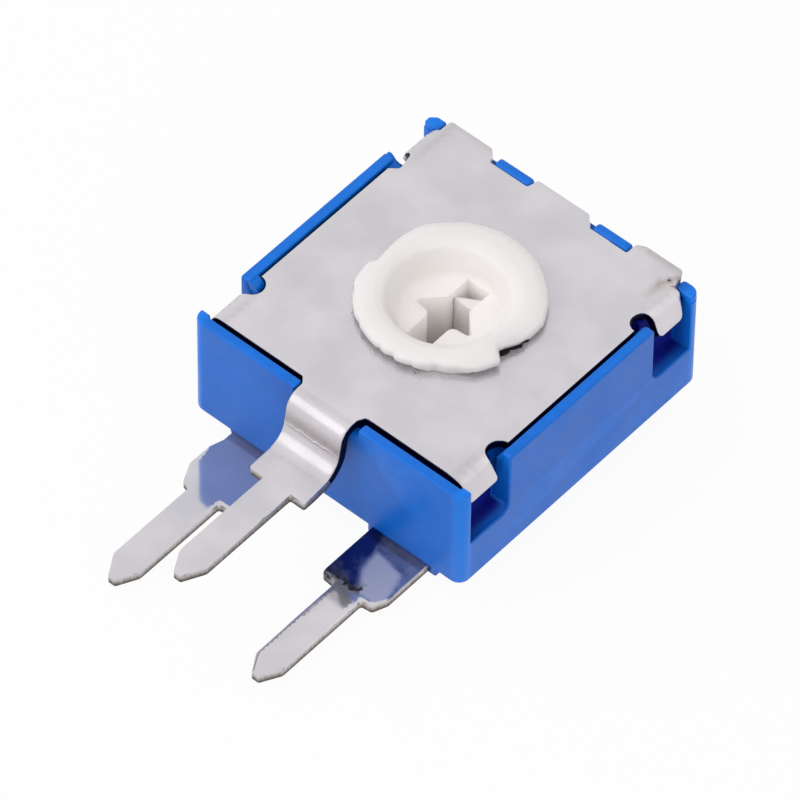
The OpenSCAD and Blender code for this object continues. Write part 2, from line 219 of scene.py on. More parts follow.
blue, tree, shader, place = finish_of("blue_moulding")
depth = put(tree, recess, Place=place, Half_Width=half_w, Half_Depth=half_d, Top=rim_z)
surface = put(tree, skin, Place=place, Grain=9.0, Patch=0.45)
scratched = put(tree, marks, Place=place, Amount=0.6)
worn_glinting_edges = put(tree, edge_wear_glint, Place=place, Reach=0.6)
colour = blend(tree, surface["Patches"], (0.001, 0.122, 0.58), (0.002, 0.145, 0.66))
# corner posts and pointed edges painted lighter: a painted highlight, on the edges with some wear
posts_and_edges_lit = maths(tree, "MULTIPLY_ADD", depth["Post"], 0.8, worn_glinting_edges["WearAndGlint"])
colour = blend(tree, posts_and_edges_lit, colour, (0.004, 0.21, 0.86))
dull = maths(tree, "ADD", ranged(tree, surface["Patches"], 0, 1, 0.30, 0.40), scratched["Lines"])
relief = maths(tree, "SUBTRACT", surface["Height"], scratched["Lines"])
# painted shade: the pockets and the groove are darkened towards navy
feed(tree, shader, dict(Base_Color=blend(tree, depth["Depth"], colour, (0.0, 0.005, 0.22)),
                        Roughness=maths(tree, "MULTIPLY_ADD", depth["Depth"], 0.5, dull),
                        Specular_IOR_Level=0.3, Normal=bumped(tree, 0.25, 0.006, relief)))


def to_object(name, bm):
    """An object around the mesh that bm holds, linked into the scene."""
    mesh = bpy.data.meshes.new(name)
    bm.to_mesh(mesh)
    bm.free()
    made = bpy.data.objects.new(name, mesh)
    bpy.context.scene.collection.objects.link(made)
    return made


def baked(made):
    """Applies the object's modifiers."""
    bpy.context.view_layer.update()
    mesh = bpy.data.meshes.new_from_object(made.evaluated_get(bpy.context.evaluated_depsgraph_get()))
    made.modifiers.clear()
    made.data = mesh


def hand_over(made, body, replaced, materials, sharp_from=40, flat_sides=False):
    """Brings a finished piece from millimetres to metres, gives it its materials and smooth shading, attaches
    it to its body and hides the CAD parts it replaces.
    """
    made.data.transform(Matrix.Scale(MM, 4))
    for material in materials:
        made.data.materials.append(material)
    made.data.shade_smooth()
    made.data.set_sharp_from_angle(angle=math.radians(sharp_from))
    if flat_sides:
        made.modifiers.new("even_normals", "WEIGHTED_NORMAL").keep_sharp = True
        baked(made)
    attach(made, body)
    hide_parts(*replaced)


def arc(centre, radius, start, end, count=8):
    """Points of an arc, angles in degrees."""
    turns = [math.radians(start + (end - start) * i / count) for i in range(count + 1)]
    return [(centre[0] + radius * math.cos(a), centre[1] + radius * math.sin(a)) for a in turns]


def filleted(corners, count=5, closed=True):
    """Outline through (x, y) or (x, y, radius) corners, the latter rounded."""
    points = []
    for i, corner in enumerate(corners):
        here = Vector(corner[:2])
        inner = closed or 0 < i < len(corners) - 1
        if len(corner) < 3 or not inner:
            points.append(here)
            continue
        to_last = Vector(corners[i - 1][:2]) - here
        to_next = Vector(corners[(i + 1) % len(corners)][:2]) - here
        half = to_last.angle(to_next) / 2
        reach = min(corner[2] / math.tan(half), 0.48 * to_last.length, 0.48 * to_next.length)
        radius = reach * math.tan(half)
        centre = here + (to_last.normalized() + to_next.normalized()).normalized() * (radius / math.sin(half))
        first = here + to_last.normalized() * reach - centre
        last = here + to_next.normalized() * reach - centre
        sweep = math.atan2(first.x * last.y - first.y * last.x, first.dot(last))
        points += [centre + Matrix.Rotation(sweep * k / count, 2) @ first for k in range(count + 1)]
    return points


def inset(loop, distance):
    """The closed outline moved to its left side by that distance."""
    moved = []
    for i, here in enumerate(loop):
        before = (here - loop[i - 1]).normalized()
        after = (loop[(i + 1) % len(loop)] - here).normalized()
        side = Vector((-before.y - after.y, before.x + after.x)).normalized()
        stretch = max(0.6, side.dot(Vector((-after.y, after.x))))
        moved.append(here + side * (distance / stretch))
    return moved


def ribbon(bm, rows, index=0):
    """Faces between successive closed rows of points."""
    lines = [[bm.verts.new(point) for point in row] for row in rows]
    for lower, upper in zip(lines, lines[1:]):
        for i in range(len(lower)):
            j = (i + 1) % len(lower)
            bm.faces.new((lower[i], lower[j], upper[j], upper[i])).material_index = index
    return lines


def prism(name, outline, along):
    """A closed prism on an outline in the x-z plane, between two y positions."""
    bm = bmesh.new()
    for end in ribbon(bm, [[(x, y, z) for x, z in outline] for y in along]):
        bm.faces.new(end)
    bmesh.ops.recalc_face_normals(bm, faces=bm.faces)
    return to_object(name, bm)


def block(name, outline, rows):
    """An upright prism on that outline, through rows of (inset, level)."""
    bm = bmesh.new()
    loop = [Vector(p) for p in outline]
    lines = ribbon(bm, [[(p.x, p.y, z) for p in inset(loop, off)] for off, z in rows])
    for end in (lines[0], lines[-1]):
        bm.faces.new(end)
    bmesh.ops.recalc_face_normals(bm, faces=bm.faces)
    return to_object(name, bm)


def topped(bottom, top, soft):
    """Rows of a prism whose upper edge is rounded."""
    return [(0, bottom), (0, top - soft), (0.07 * soft, top - 0.62 * soft), (0.3 * soft, top - 0.3 * soft),
            (0.62 * soft, top - 0.07 * soft), (soft, top)]


def joined(target, *others):
    """Adds the shells of the other objects to the target's mesh."""
    bm = bmesh.new()
    for part in (target, *others):
        bm.from_mesh(part.data)
    bm.to_mesh(target.data)
    bm.free()
    for part in others:
        bpy.data.objects.remove(part)


def cut_away(target, *tools):
    """Cuts the tools' shapes out of the target."""
    for tool in tools:
        cut = target.modifiers.new("cut", "BOOLEAN")
        cut.object = tool
        cut.solver = "EXACT"
        baked(target)
        bpy.data.objects.remove(tool)


# the CAD solid in millimetres, its points merged and its flat faces joined
moulding = bmesh.new()
moulding.from_mesh(frame["nodes"]["housing"].data)
bmesh.ops.scale(moulding, vec=(1 / MM,) * 3, verts=moulding.verts)
bmesh.ops.remove_doubles(moulding, verts=moulding.verts, dist=0.001)
bmesh.ops.dissolve_limit(moulding, angle_limit=math.radians(0.8), verts=moulding.verts, edges=moulding.edges)

# the rear corners make room for the posts, the bars start later, the plinth is set in at the left
bar_starts = (-2.38, 1.09)
plinth_left = -3.5
for v in moulding.verts:
    x, y, z = v.co
    if z > seat_z + 0.2 and y > half_d - 0.42:
        if abs(x) > 4.1:
            v.co.z = seat_z + 0.01
        elif any(abs(x - start) < 0.03 for start in bar_starts):
            v.co.x += 0.09
    if x < plinth_left - 0.15 and y < 0 and z < 0.75:
        v.co.x = plinth_left

# outer edges are rounded; at the pockets' far ends less, at the rim's ends and on the bars more
EDGE_ROUND = 0.1
weight = moulding.edges.layers.float.new("bevel_weight_edge")
for edge in moulding.edges:
    if len(edge.link_faces) != 2 or edge.calc_face_angle_signed(0) < math.radians(40):
        continue
    a, b = (v.co for v in edge.verts)
    x, y, z = (a + b) / 2
    outside = all(abs(p.x) > rim_in - 0.02 or abs(p.y) > half_d - 0.35 for p in (a, b))
    under_neck = max(abs(a.x), abs(b.x)) < 1.3 and max(a.z, b.z) < seat_z + 0.02 and min(a.z, b.z) > 3.5
    under_post = abs(x) > 4.0 and y > half_d - 0.45 and z > seat_z - 0.1
    if not outside or under_neck or under_post:
        continue
    on_rim = z > seat_z + 0.05
    if abs(x) > 4.0 and abs(abs(y) - pocket_end) < 0.01 and z > 2.0:
        edge[weight] = 0.4
    elif on_rim and (abs(x) > rim_in - 0.02 and abs(abs(y) - pocket_start) < 0.02 or y > half_d - 0.36):
        edge[weight] = 1.0
    else:
        edge[weight] = 0.6
housing = to_object("housing_body", moulding)
soft_edges = housing.modifiers.new("soft_edges", "BEVEL")
soft_edges.limit_method = "WEIGHT"
soft_edges.width = EDGE_ROUND
soft_edges.segments = 3
soft_edges.use_clamp_overlap = False
baked(housing)

# Beside each relief notch of the plate the rim swells to a foot, whose section is given as (outwards from the
# rim's inner face, below its top). At the right the seat drops away before it in a well.
PLAIN_SLOPE = [(0.16, 0.03), (0.06, 0.05), (-0.02, 0.10), (-0.1, 0.2)]
slopes = {(-1, -1): [(0.2, 0.02), (0.1, 0.02), (0, 0.05), (-0.1, 0.09), (-0.2, 0.15), (-0.28, 0.24),
                     (-0.34, 0.40)],
          (-1, 1): [(0.31, 0.12), (0.29, 0.05), (0.24, 0.01), (0.17, 0.02), (0.12, 0.05), (0.05, 0.13),
                    (-0.02, 0.19), (-0.1, 0.21), (-0.23, 0.21), (-0.27, 0.24), (-0.33, 0.31), (-0.42, 0.33)]}
well = [(3.9, seat_z - 0.9), (4.28, seat_z - 0.9), (4.28, rim_z), (3.9, rim_z)]
wells, feet = [], []
for sx, sy in ((-1, -1), (-1, 1), (1, -1), (1, 1)):
    if sx > 0:
        wells.append(prism("well", well, (sy * 2.5, sy * (pocket_start + 0.1))))
    foot = [(sx * (rim_in + x), rim_z - drop) for x, drop in slopes.get((sx, sy), PLAIN_SLOPE)]
    foot += [(foot[-1][0], pocket_low), (foot[0][0], pocket_low)]
    foot_end = pocket_start + (0.08 if (sx, sy) == (-1, 1) else -0.015)
    feet.append(prism("foot", foot, (sy * 2.58, sy * foot_end)))
left = filleted([(-4.72, 4.50, 0.05), (-4.25, 4.50, 0.04), (-4.25, 4.87, 0.03), (-4.56, 4.87, 0.08),
                 (-4.745, 4.72, 0.06), (-4.745, 4.56, 0.05)])
right = filleted([(4.13, 4.485, 0.1), (4.745, 4.485, 0.1), *arc((4.41, 4.535), 0.335, 25, 90),
                  (4.13, 4.87, 0.1)], 8)
cut_away(housing, *wells)
joined(housing, *feet, block("post_left", left, topped(seat_z, rim_z - 0.09, 0.03)),
       block("post_right", right, topped(2.5, rim_z - 0.08, 0.05)))
hand_over(housing, "stator", ["housing"], [blue], flat_sides=True)

# ------------------------------------------------------------
# Outer terminals. Each is a blade with a solder pin, punched from hot-tinned
# strip and moulded into a boss of the housing; a tubular eyelet clinches it to
# the board. The tin is bright and cloudy, the punched sides are dark and torn.
# ------------------------------------------------------------
SHEET = 0.3
SOFT, BURR = 0.045, 0.02               # how far the blank's upper edges are rounded and its lower ones drawn

# a sharp fold: a dark broken line where the tin crazed, partly painted shade, and a painted highlight along
# the ridge beside it
crease_shade_glint, given, result = effect("crease_shade_glint", ["Dark", "Bright"], Across=0.0, Half_Width=0.05, Jag=0.05)
wave = maths(crease_shade_glint, "SUBTRACT", noisy(crease_shade_glint, given["Place"], 4.0, 4.0, 0.7), 0.5)
off = maths(crease_shade_glint, "MULTIPLY_ADD", wave, given["Jag"], given["Across"])
for label, shift in (("Dark", 0.0), ("Bright", -1.7)):
    near = maths(crease_shade_glint, "ABSOLUTE", maths(crease_shade_glint, "MULTIPLY_ADD", given["Half Width"], shift, off))
    near = ranged(crease_shade_glint, maths(crease_shade_glint, "DIVIDE", near, given["Half Width"]), 1.0, 0.3)
    patchy = ramp(crease_shade_glint, noisy(crease_shade_glint, given["Place"], 2.3, 3.0), [(0.35, 0.25), (0.6, 1.0)])
    feed(crease_shade_glint, result, {label: maths(crease_shade_glint, "MULTIPLY", near, patchy)})

# broken patches of darkening, more of it where its share is higher; it carries dirt with painted shade, and a
# painted reflection
patchy_darkening, given, result = effect("patchy_darkening", ["Darkening"], Share=0.0, Fineness=3.5, Fade=0.35)
spread = maths(patchy_darkening, "MULTIPLY_ADD", noisy(patchy_darkening, given["Place"], given["Fineness"], 4.0, 0.65), 1.6, -1.3)
spread = maths(patchy_darkening, "MULTIPLY_ADD", given["Share"], 1.3, spread)
feed(patchy_darkening, result, dict(Darkening=ranged(patchy_darkening, spread, 0.0, given["Fade"])))


def painted(tree, name):
    """Value of the mesh attribute of that name."""
    return node(tree, "ShaderNodeAttribute", {"attribute_name": name}).outputs["Fac"]


def tinned(name, dullest, metal, folds):
    """Hot-tinned strip: cloudy and finely speckled, no rougher than dullest, crazed and darkened by painted
    shade along its folds, with painted highlights, reflections and shade where its attributes give them.
    """
    material, tree, shader, place = finish_of(name)
    surface = put(tree, skin, Place=place, Grain=7.0, Patch=0.7, Stretch=(1.0, 0.35, 1.0))
    scratched = put(tree, marks, Place=place, Amount=0.35)
    dirt_shade_mask = put(tree, patchy_darkening, Place=place, Share=painted(tree, "dirt_and_painted_shade"))["Darkening"]
    blue_reflection_patches = put(tree, patchy_darkening, Place=place, Share=painted(tree, "painted_blue_reflection"), Fineness=1.0, Fade=0.9)["Darkening"]
    crazed_and_shaded = maths(tree, "MULTIPLY_ADD", surface["Height"], 0.9, 0.5)
    crazed_and_shaded = maths(tree, "MULTIPLY", crazed_and_shaded, painted(tree, "crazing_and_shade"))
    tint = blend(tree, surface["Patches"], (0.590, 0.575, 0.612), (0.680, 0.645, 0.676))
    tint = blend(tree, maths(tree, "MULTIPLY", surface["Specks"], 0.12), tint, (0.52, 0.49, 0.50))
    # darker where bent: crazed tin, and painted shade for the darker reflection along the bends
    tint = blend(tree, crazed_and_shaded, tint, (0.44, 0.40, 0.385))
    blank = node(tree, "ShaderNodeAttribute", {"attribute_name": "blank"}).outputs["Vector"]
    y = node(tree, "ShaderNodeSeparateXYZ", Vector=blank).outputs["Y"]
    # painted shade along each fold and a painted highlight beside it
    for line, half, jag in folds:
        across = maths(tree, "SUBTRACT", y, line)
        mark = put(tree, crease_shade_glint, Across=across, Place=place, Half_Width=half, Jag=jag)
        tint = blend(tree, mark["Dark"], tint, (0.42, 0.385, 0.37))
        tint = blend(tree, mark["Bright"], tint, (0.86, 0.84, 0.84))
    # painted reflection of the blue housing in the tin
    tint = blend(tree, blue_reflection_patches, tint, (0.03, 0.05, 0.20))
    rough = ranged(tree, surface["Height"], 0.3, 0.7, 0.6 * dullest, dullest)
    for value, by in ((scratched["Lines"], 0.3), (crazed_and_shaded, 0.25), (dirt_shade_mask, 0.4)):
        rough = maths(tree, "MULTIPLY_ADD", value, by, rough)
    relief = maths(tree, "MULTIPLY_ADD", crazed_and_shaded, 4.0, surface["Height"])
    # dirt and painted shade darken the tin towards black
    feed(tree, shader, dict(Base_Color=blend(tree, dirt_shade_mask, tint, (0.035, 0.03, 0.035)), Roughness=rough,
                            Metallic=maths(tree, "MULTIPLY_ADD", painted(tree, "bloom"), -0.3, metal),
                            Normal=bumped(tree, 0.07, 0.004, relief)))
    return material


bright_tin = tinned("bright_tin", 0.09, 0.76, [])

cut_tin, tree, shader, place = finish_of("punched_side")
streaks = put(tree, skin, Place=place, Grain=5.0, Patch=2.2, Stretch=(3.0, 3.0, 0.6))
dirt_shade_mask = put(tree, patchy_darkening, Place=place, Share=painted(tree, "dirt_and_painted_shade"))
torn = maths(tree, "ADD", painted(tree, "shear"), ranged(tree, streaks["Height"], 0, 1, -0.35, 0.35))
tone = ramp(tree, torn, [(0.22, (0.14, 0.12, 0.11)), (0.45, (0.36, 0.33, 0.315)),
                         (0.8, (0.56, 0.535, 0.535))])
# dirt and painted shade: the sides in the housing's groove are darkened towards navy
feed(tree, shader, dict(Base_Color=blend(tree, dirt_shade_mask["Darkening"], tone, (0.004, 0.006, 0.04)), Metallic=1.0,
                        Roughness=ramp(tree, torn, [(0.4, 0.6), (0.8, 0.35)]),
                        Normal=bumped(tree, 0.6, 0.02, streaks["Height"])))


def spaced(loop, gap_at):
    """The closed outline with its long sides cut into steps of about gap_at(point)."""
    points = []
    for i, start in enumerate(loop):
        start = Vector(start)
        side = Vector(loop[(i + 1) % len(loop)]) - start
        if side.length < 1e-4:
            continue
        count = max(1, round(side.length / gap_at(start + side / 2)))
        points += [start + side * k / count for k in range(count)]
    return points


def inside(points, loops):
    """Which of the points lie in the first closed outline and outside the others, as a mask."""
    masks = []
    for loop in loops:
        ax, ay = np.array([tuple(p) for p in loop]).T
        bx, by = np.roll(ax, -1), np.roll(ay, -1)
        x, y = points[:, 0:1], points[:, 1:2]
        rise = np.where(by == ay, 1e-12, by - ay)
        crossed = ((ay > y) != (by > y)) & (x < (bx - ax) * (y - ay) / rise + ax)
        masks.append(crossed.sum(axis=1) % 2 == 1)
    return masks[0] & ~np.any(masks[1:], axis=0)


def fill(bm, loops, height, gap_at):
    """Flat, even triangles inside the first outline and outside the others."""
    rim = np.array([tuple(p) for loop in loops for p in loop])
    low, high = rim.min(axis=0), rim.max(axis=0)
    points, level, row = [], low[1] + 0.03, 0
    while level < high[1]:
        gap = gap_at(Vector((0, level)))
        points += [(x, level) for x in np.arange(low[0] + gap * (0.25 + 0.5 * (row % 2)), high[0], gap)]
        level += 0.87 * gap
        row += 1
    points = np.array(points)
    points = points[inside(points, loops)]
    clear = [((rim - p) ** 2).sum(axis=1).min() ** 0.5 > 0.5 * gap_at(Vector(p)) for p in points]
    points = points[np.array(clear)]
    edges, start = [], 0
    for loop in loops:
        edges += [(start + i, start + (i + 1) % len(loop)) for i in range(len(loop))]
        start += len(loop)
    verts, _, faces, *_ = geometry.delaunay_2d_cdt(
        [Vector(p) for p in rim.tolist() + points.tolist()], edges, [], 0, 1e-5)
    middles = np.array([tuple(sum((verts[i] for i in face), Vector((0, 0))) / len(face)) for face in faces])
    placed = [bm.verts.new((v.x, v.y, height)) for v in verts]
    for face, wanted in zip(faces, inside(middles, loops)):
        if wanted:
            bm.faces.new([placed[i] for i in face])


def sealed(bm):
    """Joins the seams, drops slivers and loose points and turns every face outwards."""
    bmesh.ops.remove_doubles(bm, verts=bm.verts, dist=0.0005)
    slivers = [f for f in bm.faces if f.calc_area() < 1e-6 and any(len(e.link_faces) == 1 for e in f.edges)]
    bmesh.ops.delete(bm, geom=slivers, context="FACES")
    bmesh.ops.delete(bm, geom=[v for v in bm.verts if not v.link_faces], context="VERTS")
    bmesh.ops.recalc_face_normals(bm, faces=bm.faces)


def punched(loops, gap_at):
    """A flat blank with rounded upper and sharp lower edges; its sides carry the cut material."""
    bm = bmesh.new()
    rows = [(SOFT, SHEET), (0.3 * SOFT, SHEET - 0.25 * SOFT), (0, SHEET - SOFT), (0, 0.5 * SHEET), (0, BURR),
            (0.3 * BURR, 0.3 * BURR), (BURR, 0)]
    loops = [spaced(loop, gap_at) for loop in loops]
    for loop in loops:
        lines = [[(p.x, p.y, height) for p in inset(loop, depth)] for depth, height in rows]
        ribbon(bm, lines[:3], 0)
        ribbon(bm, lines[2:], 1)
    for depth, height in (rows[0], rows[-1]):
        fill(bm, [inset(loop, depth) for loop in loops], height, gap_at)
    sealed(bm)
    shear = bm.verts.layers.float.new("shear")
    for v in bm.verts:
        v[shear] = v.co.z / SHEET
    return bm


def eyelet(bm, x, y, base, board, height):
    """Adds a tubular eyelet from the blade's top to its rolled flange above the board."""
    section = [(0.18, base), (0.3, base), (0.3, board), (0.42, board + 0.005), (0.45, board + 0.05),
               (0.43, height - 0.02), (0.36, height), (0.27, height - 0.01), (0.2, height - 0.06),
               (0.18, board)]
    turns = [2 * math.pi * k / 32 for k in range(32)]
    ribbon(bm, [[(x + r * math.cos(a), y + r * math.sin(a), z) for a in turns]
                for r, z in section + section[:1]])


def step(value, start, end):
    """0 at start, 1 at end and held beyond them."""
    return max(0.0, min(1.0, (value - start) / (end - start)))


def band(value, centre, half):
    """1 at the centre, 0 half a width from it and beyond."""
    return max(0.0, 1 - abs(value - centre) / half)


def on_soft_edge(z):
    """Whether that height over the blank's lower face is on the rounded upper edge."""
    return SHEET - 0.06 < z < SHEET - 0.001


mounts = {mount["name"]: mount for mount in frame["record"]["mounts"]}
board_top = mm_box("carbon_track")[1].z

# each blade and pin, from the boss outwards, as (across from the pin's middle, along, radius)
blades = {
    "left": [(0.98, -2.05), (0.98, -6.66, 0.12), (0.80, -6.84, 0.10), (0.45, -6.84, 0.08), (0.45, -9.96, 0.3),
             (0.12, -10.6, 0.07), (-0.12, -10.6, 0.07), (-0.53, -9.93, 0.3), (-0.53, -6.95, 0.08),
             (-0.80, -6.88, 0.14), (-0.96, -6.55, 0.12), (-1.08, -6.30, 0.2), (-1.08, -5.55, 0.3),
             (-0.94, -5.10, 0.2), (-0.94, -2.05)],
    "right": [(0.98, -2.05), (0.98, -6.30, 0.2), (0.80, -6.76, 0.12), (0.45, -6.80, 0.08), (0.45, -9.90, 0.3),
              (0.12, -10.5, 0.07), (-0.12, -10.5, 0.07), (-0.47, -9.93, 0.3), (-0.47, -6.80, 0.08),
              (-0.94, -6.76, 0.12), (-0.98, -6.60, 0.07), (-0.98, -2.05)],
}
for side, outline in blades.items():
    name = "terminal_" + side
    low, high = mm_box(name)
    middle = mounts["pin_" + side]["pos_m"][0] / MM
    eyelet_at = (math.copysign(2.2, middle), -2.4)
    outline = [(middle + u, v, *r) for u, v, *r in reversed(outline)]
    bore = [Vector(p) for p in arc(eyelet_at, 0.18, 360, 0, 24)[:-1]]
    blade = punched([filleted(outline), bore], lambda p: 0.1)
    bmesh.ops.translate(blade, verts=blade.verts, vec=(0, 0, low.z))
    dirt_and_painted_shade, painted_blue_reflection, bloom = (blade.verts.layers.float.new(label) for label in ("dirt_and_painted_shade", "painted_blue_reflection", "bloom"))
    for v in blade.verts:
        u, run, z = v.co.x - middle, v.co.y, v.co.z - low.z
        v[dirt_and_painted_shade] = 0.3 if on_soft_edge(z) else 0.0
        if side == "left":
            continue
        # the right one is darker at its shoulder, and carries a painted reflection of the blue housing but
        # for a star in the middle
        if u < 0.25:
            v[dirt_and_painted_shade] = max(v[dirt_and_painted_shade], 0.6 * min(1.0, 1.8 * band(run - 0.25 * u, -6.55, 0.32)))
        if run > -6.6 and z > 0.1:
            star_left = -0.10 - (0.2 if run > -5.98 else 0.64) * (run + 5.98)
            beyond = max((run + 5.40 + 0.22 * u) / 0.12, (u - 0.62 + 0.33 * (run + 5.54)) / 0.15)
            reflected_share = max((star_left - u) / 0.25, 0.7 * min(1.0, beyond))
            v[painted_blue_reflection] = step(reflected_share, 0, 1)
            v[bloom] = step(1 - 1.4 * reflected_share, 0, 1)
    eyelet(blade, *eyelet_at, low.z + SHEET, board_top, high.z)
    sealed(blade)
    hand_over(to_object(name + "_sheet", blade), "stator", [name], [bright_tin, cut_tin])

# ------------------------------------------------------------
# Collector plate. One stamping of the same strip: a square cover with a
# bearing hole, four corner tabs crimped into the housing's pockets, three tabs
# over its back wall, and the middle terminal, which steps down to its pin.
# ------------------------------------------------------------
CREASE = (-5.815, 0.04, 0.22)          # the fold below the neck's upper bend: place, half width, jaggedness
plate_tin = tinned("plate_tin", 0.32, 0.87, [CREASE])
low, high = mm_box("collector_plate")
plate_top = high.z
middle_z = plate_top - SHEET / 2       # level of the sheet's middle
pin_end = -low.y
tab_line = 4.15
tab_start = tab_line - 0.03
tab_roll = 0.06 + SHEET / 2            # radii of the bends are those of the sheet's middle
tab_angles = {(1, -1): 64, (1, 1): 46, (-1, 1): 67, (-1, -1): 66}
# paths of the sheet's middle are (length, turn) stretches that start level
back_line, ridge_line = 4.76, 4.20
droops = [[(back_line, 0), (0.10, math.radians(turn)), (5, 0)] for turn in (10, 24)]
ridge = [(ridge_line, 0), (0.2, math.radians(-18)), (0.33, 0), (0.2, math.radians(34)), (5, 0)]
neck_start = 4.775
neck_angle = math.radians(80)
neck_top, neck_low = 0.2 + SHEET / 2, 0.62 + SHEET / 2
neck_drop = middle_z - mounts["pin_middle"]["pos_m"][2] / MM
neck_slope = (neck_drop - (neck_top + neck_low) * (1 - math.cos(neck_angle))) / math.sin(neck_angle)
neck = [(neck_start, 0), (neck_top * neck_angle, neck_angle), (neck_slope, 0),
        (neck_low * neck_angle, -neck_angle), (10, 0)]


def follow(path, run):
    """Reach, drop and slope after that run along a path."""
    reach = drop = slope = 0.0
    for length, turn in path:
        done = min(run, length)
        part = turn * done / length
        if turn:
            radius = length / turn
            reach += radius * (math.sin(slope + part) - math.sin(slope))
            drop += radius * (math.cos(slope) - math.cos(slope + part))
        else:
            reach += done * math.cos(slope)
            drop += done * math.sin(slope)
        slope += part
        run -= done
        if run <= 0:
            break
    return reach, drop, slope


def bend(path, run, height):
    """Reach and level of a point of the bent sheet."""
    reach, drop, slope = follow(path, run)
    off = height - SHEET / 2
    return reach + off * math.sin(slope), middle_z - drop + off * math.cos(slope)


def on_plate(x, y, height):
    """Place of a point of the flat blank in the bent plate."""
    if -y > neck_start and abs(x) < 2:
        reach, level = bend(neck, -y, height)
        return x, -reach, level
    if abs(x) > tab_start and 3.0 < abs(y) < 4.47:
        side = (math.copysign(1, x), math.copysign(1, y))
        angle = math.radians(tab_angles[side])
        path = [(tab_start, 0), (tab_roll * angle, angle * step(abs(y), 3.0, 3.2)), (5, 0)]
        reach, level = bend(path, abs(x), height)
        return side[0] * reach, y, level
    # the left and middle tabs droop over the back wall, the right one is crumpled into a ridge
    if y > (back_line if x < 1.8 else ridge_line):
        reach, level = bend(ridge if x >= 1.8 else droops[x >= -1.8], y, height)
        return x, reach, level
    return x, y, middle_z - SHEET / 2 + height


def plate_gap(point):
    """Finer triangles where the sheet bends."""
    if -7.0 < point.y < 0.1 - neck_start:
        return 0.07
    if abs(point.x) > tab_line - 0.25 and abs(point.y) > 3.1 or point.y > 4.6:
        return 0.07
    return 0.09 if 2.1 < point.length < 2.8 else 0.16


whole = sum(length for length, _ in neck[:4])
neck_extra = whole - follow(neck, whole)[0]         # how much longer the blank is than the plate
shoulder, pin_tip = 6.8 + neck_extra, pin_end + neck_extra
neck_left, neck_right = -1.06, 0.88
left_end, front_end, rear_end = -tab_line - 0.64, tab_line + 0.68, tab_line + 0.695    # of the tabs' blanks
plate_outline = [
    # middle terminal, from the plate's front edge at the left of the neck
    (neck_left - 0.16, -4.43, 0.1), (neck_left, -4.62, 0.12), (neck_left, -5.6, 0.5),
    (neck_left + 0.02, -6.4, 0.5), (-1.0, -shoulder + 0.05, 0.16), (-0.94, -shoulder, 0.12),
    (-0.49, -shoulder, 0.05), (-0.49, -pin_tip + 0.66, 0.3), (-0.12, -pin_tip, 0.07), (0.12, -pin_tip, 0.07),
    (0.46, -pin_tip + 0.66, 0.3), (0.46, -shoulder, 0.05), (0.94, -shoulder, 0.07),
    (0.94, -shoulder + 0.4, 0.3), (neck_right, -6.2, 0.5), (neck_right, -4.62, 0.12),
    (neck_right + 0.12, -4.395, 0.1),
    # front edge and the tab at the front right
    (3.80, -4.395, 0.3), (4.20, -4.435, 0.1), (front_end, -4.41, 0.12), (front_end, -3.26, 0.12),
    (4.28, -3.29, 0.05), *arc((4.37, -2.93), 0.38, 250, 95, 12),
    # right side, the tab at the rear right and the back edge
    *arc((4.34, 2.93), 0.35, 270, 60, 12), (rear_end, 3.15, 0.14), (rear_end, 4.10, 0.25), (4.17, 4.50, 0.08),
    (4.03, 4.945, 0.12), (2.75, 4.945, 0.2), (2.50, 4.84, 0.1), (2.44, 4.535, 0.06), (1.12, 4.535, 0.06),
    (1.02, 4.66, 0.1), (0.78, 4.87, 0.12), (-1.02, 4.87, 0.06), (-1.10, 4.535, 0.06), (-2.42, 4.535, 0.06),
    (-2.46, 4.70, 0.1), (-2.70, 4.935, 0.14), (-4.16, 4.945, 0.10), (-4.18, 4.45, 0.08),
    # left side with its two tabs
    (left_end, 4.40, 0.12), (left_end, 3.42, 0.12), (-4.24, 3.36, 0.08),
    (-4.17, 3.30, 0.1), (-4.12, 2.95, 0.3), (-4.08, 2.75, 0.12), (-4.33, 2.55, 0.1),
    *arc((-4.33, -2.935), 0.36, 90, -68, 12), (-4.26, -3.30, 0.05), (left_end, -3.31, 0.12),
    (left_end, -4.41, 0.12), (-4.20, -4.435, 0.1), (-3.80, -4.43, 0.3),
]


def crazing_and_shade_at(x, y):
    """How much bending crazed the tin at a point of the blank, and how much shade is painted there."""
    run = -y - neck_start
    much = 0.0
    if abs(x) < 1.4 and run > -0.1:
        much = max(min(step(run, 0.46, 0.78), step(run, 1.14, 0.84)), 0.35 - abs(run - 0.02) / 0.2)
    elif x > 3.2 and y > 3.5:                       # the fold across the rear right corner
        bent = step(y, 4.2, 4.6)
        fold = 3.81 + 0.9 * max(0.0, y - 4.4) - 0.1 * max(0.0, 4.0 - y)
        much = (min(1.4, (y - 3.5) / 0.7) + 0.4 * bent) * band(x, fold, 0.23 - 0.09 * bent)
    elif abs(x) > 3.6 and abs(y) > 2.9:             # the roots of the other tabs
        much = 0.45 * band(abs(x), 4.0, 0.13) * step(abs(y), 2.9, 3.5)
    if x > 3.9 and abs(y) > 3.2:                    # the bends of the right tabs
        much = max(much, 0.4 * band(x, 4.16, 0.12) * step(abs(y), 3.3, 3.8))
    if y > 4.6:
        much = max(much, (0.6 if x > 2.9 else 0.3 if abs(x) > 2.4 else 0.05) * band(y, 4.86, 0.12))
    return much


